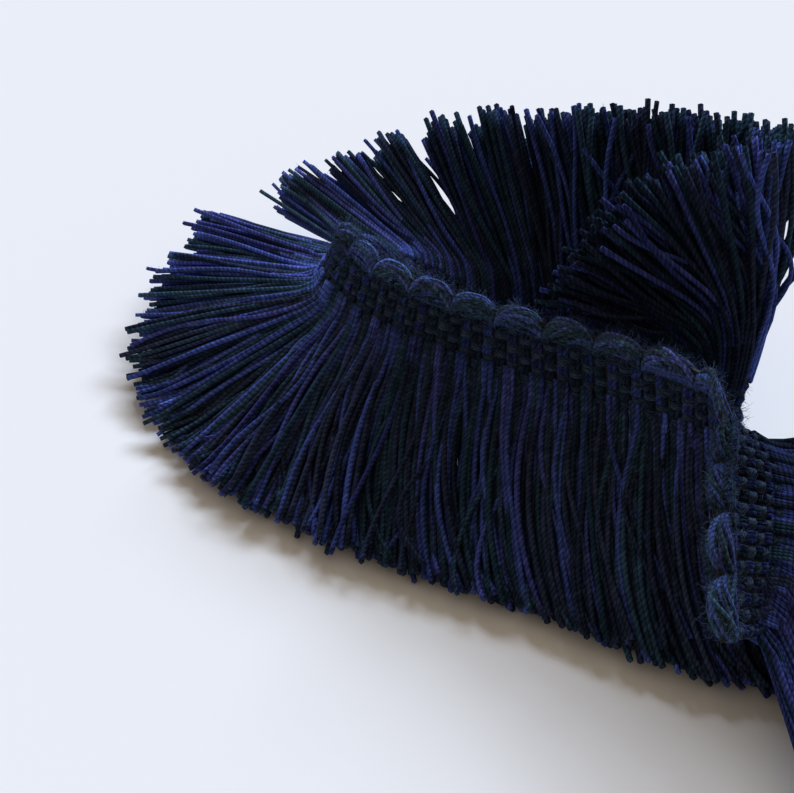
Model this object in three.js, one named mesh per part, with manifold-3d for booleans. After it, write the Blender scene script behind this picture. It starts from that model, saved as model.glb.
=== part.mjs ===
// Brush fringe trim: a cut length of woven tape with a looped upper edge and a deep cut fringe,
// lying on a table in an open S of folds. Millimetres, +Z up, table at z = 0.
import * as THREE from "three";
import { mergeVertices } from "three/addons/utils/BufferGeometryUtils.js";
import Module from "manifold-3d";

const wasm = await Module();
wasm.setup();

// Driving dimensions of the trim, measured as it lies flat
const TAPE_WIDTH = 12; // woven heading, from the fringe line to the top of its loops
const TAPE_HALF = 1.15; // half the heading's thickness between ribs
const RIB_PITCH = 4.5; // one thick weft rib
const RIB_RISE = 0.3; // how far a rib stands out of each face
const LOOP_PITCH = 2 * RIB_PITCH; // each edge loop joins two ribs
const LOOP_RISE = 1.0; // extra half thickness at the middle of a loop
const LOOP_DIP = 1.5; // how far the edge drops between two loops
const FRINGE_LENGTH = 42; // cut yarns, from the fringe line to the tips
const LOCK_PITCH = 2.5; // locks of yarn along each of two rows, half way down the fringe
const LOCK_FILL = 0.72; // share of the pitch that a lock fills
const LOCK_THICK = 1.0;
const ROW_OFFSET = 0.75; // each row's distance from the middle of the strip
const ROW_SPREAD = 0.06; // how far the rows part, as a share of their length
const ROOT_SHARE = 0.55; // share of the strip's width in which a lock is bound
const STRIP_WIDTH = 1.6; // bound roots of the locks, just under the heading
const STRIP_HALF = 1.45;
const PIECE_GAP = 0.3; // clearance between the heading and the bound roots
const TAPE_STEP = 1.5; // spacing of the heading's sections
const STRIP_STEP = 2; // spacing of the strip's sections
const LENGTH_SCATTER = 0.8; // uneven cut of the tips, each way

// Where the middle of the trim's footprint lies in the folds table below
const FOOTPRINT_CENTRE = new THREE.Vector2(21.38, -23.45);

// The folds, from the near cut end to the tail: the fringe line's place and height, the direction from
// the fringe line to the looped edge, the direction in which the fringe lies, and the share of its
// length in which it turns to that. Angles in degrees: azimuth 0 is +X and 90 is +Y, rise is above
// the table.
const FOLD_COLUMNS = [
  "x", "y", "z", "tapeAzimuth", "tapeRise", "fringeAzimuth", "fringeRise", "turnShare",
];
const FOLDS = [
  [48.6, -74.2, 13.8, -134, 30, -80, -19, 0.3],
  [52.4, -64.0, 18.8, -160, 22, -58, -26, 0.3],
  [54.8, -52.8, 21.5, -172, 20, -10, -31, 0.25],
  [53.6, -41.6, 21.5, -150, 42, 36, -22, 0.2],
  [47.1, -38.3, 20.6, 150, 82, -82, -30, 0.2],
  [40.9, -33.4, 19.6, 105, 74, -89, -24, 0.2],
  [32.0, -26.2, 18.0, 95, 64, -91, -22, 0.2],
  [16.7, -17.2, 16.8, 88, 57, -92, -23, 0.2],
  [4.6, -10.0, 16.8, 72, 57, -96, -22, 0.2],
  [-4.2, -2.8, 16.8, 64, 56, -110, -24, 0.2],
  [-9.3, 3.8, 16.8, 52, 58, -131, -24, 0.2],
  [-12.5, 10.2, 16.8, 0, 66, -187, -22, 0.2],
  [-12.2, 17.8, 16.9, -50, 60, -220, -15, 0.2],
  [-8.5, 21.5, 17.2, -75, 44, -228, -11, 0.2],
  [-1.3, 20.1, 17.2, -84, 22, -235, -9, 0.2],
  [5.9, 16.6, 16.4, -88, 0, -240, -1, 0.2],
  [13.7, 12.1, 15.2, -90, -26, -247, 9, 0.2],
  [22.3, 7.5, 13.6, -90, -48, -255, 24, 0.2],
  [32.1, 2.7, 12.2, -92, -66, -262, 35, 0.25],
  [43.0, -1.7, 11.3, -96, -78, -268, 46, 0.25],
  [51.6, -2.8, 11.2, -104, -82, -271, 46, 0.4],
  [57.6, -4.8, 11.3, -148, -82, -277, 48, 0.5],
  [58.6, -9.8, 11.8, -212, -82, -268, 64, 0.55],
  [54.0, -12.4, 12.6, -262, -81, -216, 42, 0.6],
  [49.2, -11.8, 13.2, -280, -79, -176, 14, 0.55],
].map((row) => Object.fromEntries(row.map((value, i) => [FOLD_COLUMNS[i], value])));

// Between these two folds the fringe parts: the near side falls out to the right and front, and the rest
// runs under the tape
const PARTING = 3.5;

// Lengths of the trim whose bound roots are one piece each, from fold to fold
const FRINGE_PARTS = [
  ["fringe_near_end", 0, 2],
  ["fringe_corner", 2, 3.2],
  ["fringe_front_right", 3.7, 6.3],
  ["fringe_front_left", 6.3, 8.6],
  ["fringe_left_turn", 8.6, 11],
  ["fringe_left_back", 11, 13.4],
  ["fringe_back_left", 13.4, 16.4],
  ["fringe_back_right", 16.4, 18.8],
  ["fringe_right_turn", 18.8, 20.4],
  ["fringe_tail_right", 20.4, 21.6],
  ["fringe_tail_top", 21.6, 22.7],
  ["fringe_tail_left", 22.7, FOLDS.length - 1],
];

const TAPE_COLOUR = 0x10142a;
const FRINGE_COLOUR = 0x171a44;

function direction(azimuth, rise) {
  const a = THREE.MathUtils.degToRad(azimuth);
  const e = THREE.MathUtils.degToRad(rise);
  return new THREE.Vector3(Math.cos(a) * Math.cos(e), Math.sin(a) * Math.cos(e), Math.sin(e));
}

// A smooth run of one quantity over some of the folds
function runOver(folds, point) {
  return new THREE.CatmullRomCurve3(folds.map(point), false, "catmullrom");
}

const DIVISIONS = 100; // of each fold, for lengths along the trim
const LAST_FOLD = FOLDS.length - 1;
const fringeLine = new THREE.CatmullRomCurve3(
  FOLDS.map((f) => new THREE.Vector3(f.x - FOOTPRINT_CENTRE.x, f.y - FOOTPRINT_CENTRE.y, f.z)),
);
fringeLine.arcLengthDivisions = DIVISIONS * LAST_FOLD;
const lengthsAlong = fringeLine.getLengths();
const TRIM_LENGTH = fringeLine.getLength();

const tapeLean = runOver(FOLDS, (f) => direction(f.tapeAzimuth, f.tapeRise));
const turns = runOver(FOLDS, (f) => new THREE.Vector3(f.turnShare, 0, 0));
const lieOf = (f) => direction(f.fringeAzimuth, f.fringeRise);
const nearFolds = FOLDS.slice(0, Math.ceil(PARTING));
const farFolds = FOLDS.slice(Math.ceil(PARTING));
const nearLie = runOver(nearFolds, lieOf);
const farLie = runOver(farFolds, lieOf);

function lieAt(fold) {
  if (fold < PARTING) return nearLie.getPoint(Math.min(fold / (nearFolds.length - 1), 1)).normalize();
  return farLie.getPoint(Math.max((fold - nearFolds.length) / (farFolds.length - 1), 0)).normalize();
}

// The share of the trim's length at a fold of the table
function shareAt(fold) {
  return lengthsAlong[Math.round(fold * DIVISIONS)] / TRIM_LENGTH;
}

// The trim's frame at a share of its length: across runs up the tape, face is square to the tape
function frameAt(share) {
  const t = fringeLine.getUtoTmapping(share);
  const across = tapeLean.getPoint(t).normalize();
  const face = new THREE.Vector3().crossVectors(fringeLine.getTangent(t), across).normalize();
  return {
    root: fringeLine.getPoint(t),
    across,
    face,
    lie: lieAt(t * LAST_FOLD),
    turnShare: turns.getPoint(t).x,
  };
}

function solidFrom(geometry) {
  const bare = geometry.clone();
  bare.deleteAttribute("normal");
  bare.deleteAttribute("uv");
  const merged = mergeVertices(bare, 1e-4);
  return new wasm.Manifold(
    new wasm.Mesh({
      numProp: 3,
      vertProperties: new Float32Array(merged.attributes.position.array),
      triVerts: new Uint32Array(merged.index.array),
    }),
  );
}

function geometryFrom(solid) {
  const mesh = solid.getMesh();
  return new THREE.BufferGeometry()
    .setAttribute("position", new THREE.BufferAttribute(mesh.vertProperties, 3))
    .setIndex(new THREE.BufferAttribute(mesh.triVerts, 1));
}

// Moves every point of a unit box geometry to place(x, y, z), with x, y and z from -0.5 to 0.5
function bendBox(segments, place) {
  const box = new THREE.BoxGeometry(1, 1, 1, ...segments);
  const points = box.attributes.position;
  for (let i = 0; i < points.count; i++) {
    const moved = place(points.getX(i), points.getY(i), points.getZ(i));
    points.setXYZ(i, moved.x, moved.y, moved.z);
  }
  return box;
}

// Heading: rows of points up the tape, as shares of its width, with the loops on the last two
const TAPE_ROWS = [0, 0.26, 0.52, 0.72, 0.86, 1];
function tapeSection(row, along) {
  const loop = Math.sqrt(Math.abs(Math.sin((Math.PI * along) / LOOP_PITCH)));
  const rib = RIB_RISE * Math.cos((2 * Math.PI * along) / RIB_PITCH);
  const height = TAPE_WIDTH * TAPE_ROWS[row];
  if (row === 5) return { height: height - LOOP_DIP * (1 - loop), half: 0.45 + 0.5 * LOOP_RISE * loop };
  if (row === 4) return { height, half: TAPE_HALF - 0.3 + LOOP_RISE * loop };
  return { height, half: TAPE_HALF - rib };
}

function makeHeading() {
  const steps = Math.round(TRIM_LENGTH / TAPE_STEP);
  const rows = TAPE_ROWS.length - 1;
  return bendBox([steps, rows, 1], (x, y, z) => {
    const share = x + 0.5;
    const { root, across, face } = frameAt(share);
    const section = tapeSection(Math.round((y + 0.5) * rows), share * TRIM_LENGTH);
    const point = root.addScaledVector(across, section.height);
    point.addScaledVector(face, 2 * z * section.half);
    point.z = Math.max(point.z, 0);
    return point;
  });
}

// Bound roots: a narrow strip under the heading, along one length of the trim
function makeStrip(from, to) {
  const steps = Math.max(2, Math.round(((to - from) * TRIM_LENGTH) / STRIP_STEP));
  return bendBox([steps, 1, 1], (x, y, z) => {
    const { root, across, face } = frameAt(from + (to - from) * (x + 0.5));
    const drop = PIECE_GAP + STRIP_WIDTH * (0.5 - y);
    return root.addScaledVector(across, -drop).addScaledVector(face, 2 * z * STRIP_HALF);
  });
}

// A steady scatter from -1 to 1 for the lock with this number
function scatter(number) {
  const wave = Math.sin(number * 12.9898) * 43758.5453;
  return 2 * (wave - Math.floor(wave)) - 1;
}

// One yarn of a lock, from the strip outward: it leaves in the tape's line, turns to the fringe's own,
// and lies level at the rest height once it reaches it
const YARN_STEPS = 24;
function yarnLine(share, row, length, rest) {
  const { root, across, face, lie, turnShare } = frameAt(share);
  const start = PIECE_GAP + ROOT_SHARE * STRIP_WIDTH;
  const point = root.addScaledVector(across, -start).addScaledVector(face, row * ROW_OFFSET);
  lie.addScaledVector(face, row * ROW_SPREAD).normalize();
  const line = [point.clone()];
  for (let i = 1; i <= YARN_STEPS; i++) {
    const turn = THREE.MathUtils.smoothstep(i / YARN_STEPS, 0, turnShare);
    const heading = across.clone().negate().lerp(lie, turn).normalize();
    point.addScaledVector(heading, (length - start) / YARN_STEPS);
    point.z = Math.max(point.z, rest);
    line.push(point.clone());
  }
  return line;
}

// Lock: a four-sided bar between the yarns at its two sides, with one joint where it turns and one
// where it lands
function makeLock(share, halfWidth, row, rest) {
  const length = FRINGE_LENGTH + LENGTH_SCATTER * scatter(Math.round(1000 * share) + 5000 * row);
  const sides = [share - halfWidth, share + halfWidth].map((side) => yarnLine(side, row, length, rest));
  const landings = sides.map((line) => line.findIndex((point) => point.z <= rest));
  const landed = Math.max(...landings);
  const lies = Math.min(...landings) > 0 && landed < YARN_STEPS - 1;
  const turnShare = Math.min(frameAt(share).turnShare, 0.3);
  const middle = lies ? landed : Math.round(0.6 * YARN_STEPS);
  const joints = [0, Math.round(turnShare * YARN_STEPS), middle, YARN_STEPS];
  const last = joints.length - 1;
  return bendBox([1, 1, last], (x, y, z) => {
    const joint = Math.round((z + 0.5) * last);
    const [left, right] = sides.map((line) => line[joints[joint]]);
    const before = joints[Math.max(joint - 1, 0)];
    const after = joints[Math.min(joint + 1, last)];
    const along = new THREE.Vector3();
    for (const line of sides) along.add(line[after]).sub(line[before]);
    if (lies && joint >= last - 1) along.z = 0;
    const top = new THREE.Vector3().crossVectors(along, right.clone().sub(left)).normalize();
    return left.clone().lerp(right, x + 0.5).addScaledVector(top, y * LOCK_THICK);
  });
}

// How far the fringe between two shares spreads half way down its length
function spreadLength(from, to) {
  const samples = 20;
  const middles = Array.from(
    { length: samples + 1 },
    (_, i) => yarnLine(from + ((to - from) * i) / samples, 0, FRINGE_LENGTH, 0)[YARN_STEPS / 2],
  );
  return middles.slice(1).reduce((sum, point, i) => sum + point.distanceTo(middles[i]), 0);
}

// A length of fringe: two rows of locks on one strip, each lock of the second row between two of the
// first. The lower row lies on the table, the upper one just over it.
function makeFringe(from, to) {
  let solid = solidFrom(makeStrip(from, to));
  const count = Math.round(spreadLength(from, to) / LOCK_PITCH);
  const halfWidth = (0.5 * LOCK_FILL * (to - from)) / count;
  const lowerRow = frameAt((from + to) / 2).face.z > 0 ? -1 : 1;
  for (const row of [-1, 1]) {
    const rest = row === lowerRow ? LOCK_THICK / 2 : 1.5 * LOCK_THICK + PIECE_GAP;
    const lead = row < 0 ? 0.5 : 1;
    for (let place = lead; place < count; place++) {
      const share = from + ((to - from) * place) / count;
      solid = solid.add(solidFrom(makeLock(share, halfWidth, row, rest)));
    }
  }
  return geometryFrom(solid);
}

const trim = new THREE.Group();
trim.name = "brush_fringe_trim";

const tapeYarn = new THREE.MeshStandardMaterial({ color: TAPE_COLOUR, roughness: 0.95 });
const fringeYarn = new THREE.MeshStandardMaterial({ color: FRINGE_COLOUR, roughness: 0.9 });
tapeYarn.metalness = 0;
fringeYarn.metalness = 0;

const heading = new THREE.Mesh(makeHeading(), tapeYarn);
heading.name = "heading_tape";
trim.add(heading);

const halfGap = PIECE_GAP / TRIM_LENGTH; // at each end of a part
for (const [name, from, to] of FRINGE_PARTS) {
  const fringe = new THREE.Mesh(makeFringe(shareAt(from) + halfGap, shareAt(to) - halfGap), fringeYarn);
  fringe.name = name;
  trim.add(fringe);
}

export default trim;
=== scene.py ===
# %% [markdown]
# # Brush fringe trim
# A brush fringe is a narrow woven tape, the heading, from which a deep row of cut yarns hangs.
# The imported model gives its folds as plain solids: a band for the heading and four-sided locks for the
# fringe. This lesson replaces them with yarns: each strand of the fringe is a twisted tube, and the
# heading is woven from warp and weft. The first step loads the imported model and keeps each part where it
# lies.

# %% Load the imported model
import math

import bmesh
import bpy
import numpy as np
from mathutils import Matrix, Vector


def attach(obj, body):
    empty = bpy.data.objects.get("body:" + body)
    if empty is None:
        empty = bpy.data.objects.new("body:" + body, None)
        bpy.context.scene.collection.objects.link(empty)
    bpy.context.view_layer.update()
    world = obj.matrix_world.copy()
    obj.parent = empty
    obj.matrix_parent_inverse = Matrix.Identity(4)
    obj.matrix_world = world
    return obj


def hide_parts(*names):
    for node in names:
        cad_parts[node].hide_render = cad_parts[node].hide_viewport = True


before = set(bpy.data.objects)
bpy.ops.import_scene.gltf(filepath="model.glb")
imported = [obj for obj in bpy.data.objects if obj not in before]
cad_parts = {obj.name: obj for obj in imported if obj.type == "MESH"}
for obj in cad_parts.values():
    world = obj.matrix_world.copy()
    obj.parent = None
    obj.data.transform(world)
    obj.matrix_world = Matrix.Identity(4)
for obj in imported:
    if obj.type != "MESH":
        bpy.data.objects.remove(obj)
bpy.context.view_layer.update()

MM = 0.001  # Blender works in metres, and every size below is in millimetres
print("packed model:", len(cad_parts), "nodes")

# %% [markdown]
# ## The camera
# The trim lies on a table and is seen from the front, a little above it, through a longish lens. The
# camera aims at the origin of the fold table further down, which is a point of the table top.

# %% Camera
IMAGE_WIDTH = 794  # pixels
FOCAL_LENGTH = 1640  # in the same pixels
SENSOR_WIDTH = 36.0
CLIP_START = 10
CAMERA_RISE = math.radians(36)
CAMERA_DISTANCE = 290
FOOTPRINT_CENTRE = np.array([21.38, -23.45, 0])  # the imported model's origin, in the fold table


def placed(x, y, z):
    """A point of the fold table, in Blender's metres."""
    return Vector(np.array([x, y, z]) - FOOTPRINT_CENTRE) * MM


camera_data = bpy.data.cameras.new("camera")
camera_data.sensor_width = SENSOR_WIDTH
camera_data.lens = SENSOR_WIDTH * FOCAL_LENGTH / IMAGE_WIDTH
camera_data.clip_start = CLIP_START * MM
camera = bpy.data.objects.new("camera", camera_data)
camera.location = placed(
    0, -CAMERA_DISTANCE * math.cos(CAMERA_RISE), CAMERA_DISTANCE * math.sin(CAMERA_RISE)
)
camera.rotation_euler = (math.pi / 2 - CAMERA_RISE, 0, 0)
bpy.context.scene.collection.objects.link(camera)
bpy.context.scene.camera = camera
print("camera lens:", round(camera_data.lens, 1), "mm")

# %% [markdown]
# ## Small helpers for materials
# Colours are written as sRGB hex values, as a colour picker shows them, and Blender's nodes work in
# linear light, so one function converts them. Another adds a node with its settings and links, so that
# a material reads as a list of steps.


# %% Helpers for materials
def linear(hex_colour):
    """An sRGB hex colour as a linear red, green, blue and alpha, by the curve of the sRGB standard."""
    parts = [int(hex_colour[i : i + 2], 16) / 255 for i in (1, 3, 5)]
    return [c / 12.92 if c <= 0.04045 else ((c + 0.055) / 1.055) ** 2.4 for c in parts] + [1.0]


def add_node(material, kind, inputs=None, **settings):
    """Adds a node, sets its properties, and sets or links its inputs."""
    node = material.node_tree.nodes.new(kind)
    for name, value in settings.items():
        setattr(node, name, value)
    for name, value in (inputs or {}).items():
        if isinstance(value, bpy.types.NodeSocket):
            material.node_tree.links.new(value, node.inputs[name])
        else:
            node.inputs[name].default_value = value
    return node


def new_material(name):
    """An empty node material, with its Principled shader."""
    material = bpy.data.materials.new(name)
    material.use_nodes = True
    return material, material.node_tree.nodes["Principled BSDF"]


print("middle grey in linear light:", round(linear("#808080")[0], 3))

# %% [markdown]
# ## Table and light
# The trim lies on a pale matt table near a window. The window is behind it, so its cool light skims the
# tops of the loops and leaves the near side of the fringe in its own shade, with a soft shadow in front.
# Five sun lamps side by side stand for the panes of the window, because a sun's light is even over the
# whole table. The world stands for the room, whose light is a little warm, which also warms the shadow.

# %% Table
TABLE_COLOUR = "#ebebec"
TABLE_ROUGHNESS = 0.9
TABLE_SIZE = 8000

table_mesh = bpy.data.meshes.new("table")
table_shape = bmesh.new()
bmesh.ops.create_grid(table_shape, x_segments=1, y_segments=1, size=TABLE_SIZE / 2 * MM)
table_shape.to_mesh(table_mesh)
table_shape.free()
table = bpy.data.objects.new("table", table_mesh)
bpy.context.scene.collection.objects.link(table)

table_paint, table_shader = new_material("matt white table paint")
table_shader.inputs["Base Color"].default_value = linear(TABLE_COLOUR)
table_shader.inputs["Roughness"].default_value = TABLE_ROUGHNESS
table_shader.inputs["Specular IOR Level"].default_value = 0.0
table_mesh.materials.append(table_paint)
print("table:", TABLE_SIZE, "mm wide")

# %% Window and room light
PANE_AZIMUTHS = (54, 67, 80, 93, 106)  # degrees, 90 is straight behind the trim
WINDOW_RISE = 28
PANE_ANGLE = 12  # how wide a pane looks from the table
PANE_STRENGTH = 1.22
WINDOW_COLOUR = "#deebff"
ROOM_COLOUR = "#ffecd2"
ROOM_STRENGTH = 0.325

pane_data = bpy.data.lights.new("window pane", "SUN")
pane_data.angle = math.radians(PANE_ANGLE)
pane_data.energy = PANE_STRENGTH
pane_data.color = linear(WINDOW_COLOUR)[:3]
for azimuth in PANE_AZIMUTHS:
    pane = bpy.data.objects.new("window pane", pane_data)
    pane.rotation_euler = (math.radians(WINDOW_RISE - 90), 0, math.radians(azimuth - 90))
    bpy.context.scene.collection.objects.link(pane)

room = bpy.data.worlds.new("room")
room.use_nodes = True
room_light = room.node_tree.nodes["Background"]
room_light.inputs["Color"].default_value = linear(ROOM_COLOUR)
room_light.inputs["Strength"].default_value = ROOM_STRENGTH
bpy.context.scene.world = room
bpy.context.scene.view_settings.view_transform = "Standard"
print("window light:", WINDOW_RISE, "degrees above the table")

# %% [markdown]
# ## The folds
# The trim is one strip, so its whole lie follows from a few sections along it. Each row of the table is
# one section: where the fringe line runs, which way the tape leans from it, which way the fringe lies,
# and over which share of their length the yarns turn to that lie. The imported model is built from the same
# rows, so the yarns lie where its solids are.

# %% Fold table
FOLD_COLUMNS = ("x", "y", "z", "tape_azimuth", "tape_rise", "fringe_azimuth", "fringe_rise", "turn")
FOLDS = np.array([
    (48.6, -74.2, 13.8, -134, 30, -80, -19, 0.3),
    (52.4, -64.0, 18.8, -160, 22, -58, -26, 0.3),
    (54.8, -52.8, 21.5, -172, 20, -10, -31, 0.25),
    (53.6, -41.6, 21.5, -150, 42, 36, -22, 0.2),
    (47.1, -38.3, 20.6, 150, 82, -82, -30, 0.2),
    (40.9, -33.4, 19.6, 105, 74, -89, -24, 0.2),
    (32.0, -26.2, 18.0, 95, 64, -91, -22, 0.2),
    (16.7, -17.2, 16.8, 88, 57, -92, -23, 0.2),
    (4.6, -10.0, 16.8, 72, 57, -96, -22, 0.2),
    (-4.2, -2.8, 16.8, 64, 56, -110, -24, 0.2),
    (-9.3, 3.8, 16.8, 52, 58, -131, -24, 0.2),
    (-12.5, 10.2, 16.8, 0, 66, -187, -22, 0.2),
    (-12.2, 17.8, 16.9, -50, 60, -220, -15, 0.2),
    (-8.5, 21.5, 17.2, -75, 44, -228, -11, 0.2),
    (-1.3, 20.1, 17.2, -84, 22, -235, -9, 0.2),
    (5.9, 16.6, 16.4, -88, 0, -240, -1, 0.2),
    (13.7, 12.1, 15.2, -90, -26, -247, 9, 0.2),
    (22.3, 7.5, 13.6, -90, -48, -255, 24, 0.2),
    (32.1, 2.7, 12.2, -92, -66, -262, 35, 0.25),
    (43.0, -1.7, 11.3, -96, -78, -268, 46, 0.25),
    (51.6, -2.8, 11.2, -104, -82, -271, 46, 0.4),
    (57.6, -4.8, 11.3, -148, -82, -277, 48, 0.5),
    (58.6, -9.8, 11.8, -212, -82, -268, 64, 0.55),
    (54.0, -12.4, 12.6, -262, -81, -216, 42, 0.6),
    (49.2, -11.8, 13.2, -280, -79, -176, 14, 0.55),
])
column = {name: FOLDS[:, i] for i, name in enumerate(FOLD_COLUMNS)}
LAST_FOLD = len(FOLDS) - 1
print("fold table:", len(FOLDS), "rows")

# %% [markdown]
# ## Smooth runs along the folds
# Between two rows the strip bends smoothly. A Blender curve through the rows could give that line, but the
# yarns also need the lean of the tape and the lie of the fringe at any place along it. So one function
# gives smooth runs, known as Catmull-Rom, through any columns of the table. For the fringe line itself the
# run takes the distances between the rows into account, which keeps it from overshooting in tight turns.

# %% Smooth runs
STEPS_PER_FOLD = 100


def unit(vectors):
    """Vectors scaled to length 1."""
    return vectors / np.linalg.norm(vectors, axis=-1, keepdims=True)


def direction(azimuth, rise):
    """Unit vectors from two angles in degrees."""
    a, e = np.radians(azimuth), np.radians(rise)
    return np.stack([np.cos(a) * np.cos(e), np.sin(a) * np.cos(e), np.sin(e)], axis=-1)


def smooth_run(rows, at, centripetal=False):
    """Catmull-Rom values between the rows, at places counted in rows."""
    ends = np.vstack([2 * rows[0] - rows[1], rows, 2 * rows[-1] - rows[-2]])
    index = np.clip(np.floor(at).astype(int), 0, len(rows) - 2)
    w = (at - index)[:, None]
    before, start, end, after = (ends[index + k] for k in range(4))
    if centripetal:
        gaps = ((before, start), (start, end), (end, after))
        d0, d1, d2 = (np.sqrt(np.linalg.norm(b - a, axis=1, keepdims=True)) for a, b in gaps)
        leave = d1 * ((start - before) / d0 - (end - before) / (d0 + d1)) + (end - start)
        arrive = (end - start) - d1 * ((after - start) / (d1 + d2) - (after - end) / d2)
    else:
        leave = (end - before) / 2
        arrive = (after - start) / 2
    eased = w * w * (3 - 2 * w)
    return start + (end - start) * eased + leave * (w - w * w * (2 - w)) + arrive * (w**3 - w * w)


ROOTS = np.stack([column["x"], column["y"], column["z"]], axis=1) - FOOTPRINT_CENTRE
fold_steps = np.linspace(0, LAST_FOLD, STEPS_PER_FOLD * LAST_FOLD + 1)
fringe_line = smooth_run(ROOTS, fold_steps, centripetal=True)
steps_along = np.linalg.norm(np.diff(fringe_line, axis=0), axis=1)
lengths_along = np.concatenate([[0], np.cumsum(steps_along)])
TRIM_LENGTH = lengths_along[-1]
print("trim length:", round(TRIM_LENGTH, 1), "mm")

# %% [markdown]
# ## The trim's frame
# Everything on the trim is placed by how far along it lies, how far up the tape and how far out of its
# face. The frame turns these three into a point. It also knows the lie of the fringe, which changes
# suddenly in two places: near the corner, where the near fringe and the rest lie apart, and at the back,
# where the yarns part and swing to both sides. At the two cut ends the yarns turn to their lie sooner.

# %% Frame along the trim
PARTING = 3.5  # the fold where the near fringe and the rest lie apart
PARTED_FOLD = 13.12  # the back fringe parts here
PARTED_SWEEPS = (-0.1, 0.36)  # how far the yarns on its two sides swing apart, in radians
PARTED_REACH = 0.88  # how many folds away the swing ends
END_FOLDS = (0, 2.5, 23, 24)
END_TURNS = (0.4, 1, 1, 0.5)  # of the turn that the fold table gives, at these folds
FOLD_NUDGE = 0.01  # folds to both sides, for the direction of the fringe line
UP = np.array([0, 0, 1.0])
LEANS = direction(column["tape_azimuth"], column["tape_rise"])
LIES = direction(column["fringe_azimuth"], column["fringe_rise"])
NEAR_FOLDS = math.ceil(PARTING)


def fold_at(along):
    """Places along the trim, from millimetres to folds."""
    return np.interp(along, lengths_along, fold_steps)


def lie_at(fold):
    """The direction in which the fringe lies, on either side of the parting."""
    near = smooth_run(LIES[:NEAR_FOLDS], np.minimum(fold, NEAR_FOLDS - 1))
    far = smooth_run(LIES[NEAR_FOLDS:], np.maximum(fold - NEAR_FOLDS, 0))
    return unit(np.where((fold < PARTING)[:, None], near, far))


def swept(lie, fold):
    """The lie with its swing on the two sides of the parting of the back fringe."""
    near = np.clip(1 - np.abs(fold - PARTED_FOLD) / PARTED_REACH, 0, 1)
    swing = near * np.where(fold > PARTED_FOLD, PARTED_SWEEPS[1], PARTED_SWEEPS[0])
    return unit(lie + unit(np.cross(lie, UP)) * np.tan(swing)[:, None])


class TrimFrame:
    """The trim's frame at places along it, in millimetres. Across runs up the tape, face out of it."""

    def __init__(self, along):
        self.fold = fold_at(along)
        self.root = smooth_run(ROOTS, self.fold, centripetal=True)
        ahead = smooth_run(ROOTS, np.minimum(self.fold + FOLD_NUDGE, LAST_FOLD), centripetal=True)
        behind = smooth_run(ROOTS, np.maximum(self.fold - FOLD_NUDGE, 0), centripetal=True)
        self.across = unit(smooth_run(LEANS, self.fold))
        self.face = unit(np.cross(ahead - behind, self.across))
        self.lie = swept(lie_at(self.fold), self.fold)
        self.turn = smooth_run(column["turn"][:, None], self.fold)[:, 0]
        self.turn *= np.interp(self.fold, END_FOLDS, END_TURNS)

    def point(self, up, out):
        """Points so far up the tape and so far out of its face."""
        up, out = (np.broadcast_to(v, len(self.root))[:, None] for v in (up, out))
        return self.root + self.across * up + self.face * out


rises = np.degrees(np.arcsin(TrimFrame(lengths_along).lie[:, 2]))
print("the fringe lies from", round(rises.min()), "to", round(rises.max()), "degrees above level")

# %% [markdown]
# ## Yarns as joined tubes
# The trim has some thousands of yarns. Each could be a Blender curve with a round bevel, but so many
# objects are slow, and a curve has no map of its yarn's twist. So each piece is one joined mesh: a function
# takes the centre lines of all its yarns at once and sets a ring of points round each step of a line. The
# twist is left to the material, which finds it in a UV map: the map counts the turns of the twist along a
# yarn and the share of the way round its section. A second map, for baking the finish into an image, lays
# each yarn in a strip of its own.

# %% Rings round the yarns
YARN_CORNERS = 4  # of a yarn's section
STEEP = 0.9  # a line that rises more than this takes its first side from RIGHT
RIGHT = np.array([1.0, 0, 0])


def carried_sides(tangents):
    """A side direction at each step of each line, carried along without twisting."""
    start = tangents[:, 0]
    side = unit(np.cross(start, np.where(np.abs(start[:, 2:]) < STEEP, UP, RIGHT)))
    sides = [side]
    for step in range(1, tangents.shape[1]):
        tangent = tangents[:, step]
        side = unit(side - tangent * (side * tangent).sum(axis=1, keepdims=True))
        sides.append(side)
    return np.stack(sides, axis=1)


def tube_points(lines, radii, corners):
    """Rings of points round lines (yarn, step, xyz), with a radius for each step."""
    tangents = unit(np.gradient(lines, axis=1))
    sides = carried_sides(tangents)
    tops = np.cross(tangents, sides)
    angles = 2 * math.pi * np.arange(corners) / corners
    ring = [math.cos(a) * sides + math.sin(a) * tops for a in angles]
    return lines[:, :, None] + np.stack(ring, axis=2) * radii[:, None, None]


def tube_faces(yarns, steps, corners):
    """Quads between the rings, then a face at each end of each yarn."""
    number = np.arange(yarns * steps * corners).reshape(yarns, steps, corners)
    after = np.roll(number, -1, axis=2)
    walls = np.stack([number[:, :-1], after[:, :-1], after[:, 1:], number[:, 1:]], axis=-1)
    return [*walls.reshape(-1, 4), *number[:, 0, ::-1], *number[:, -1]]


print("yarn section:", YARN_CORNERS, "corners")

# %% Yarn mesh with its maps
PLY_PITCH = 1.9  # one full turn of the two plies


def wall_map(along, around):
    """UVs at the four corners of each wall quad, from values at the rings and between the corners."""
    u = np.broadcast_to(along[:, :, None], around.shape)
    uv = np.stack([u, around], axis=-1)
    quad = [uv[:, :-1, :-1], uv[:, :-1, 1:], uv[:, 1:, 1:], uv[:, 1:, :-1]]
    return np.stack(quad, axis=3).reshape(-1, 2)


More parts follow.
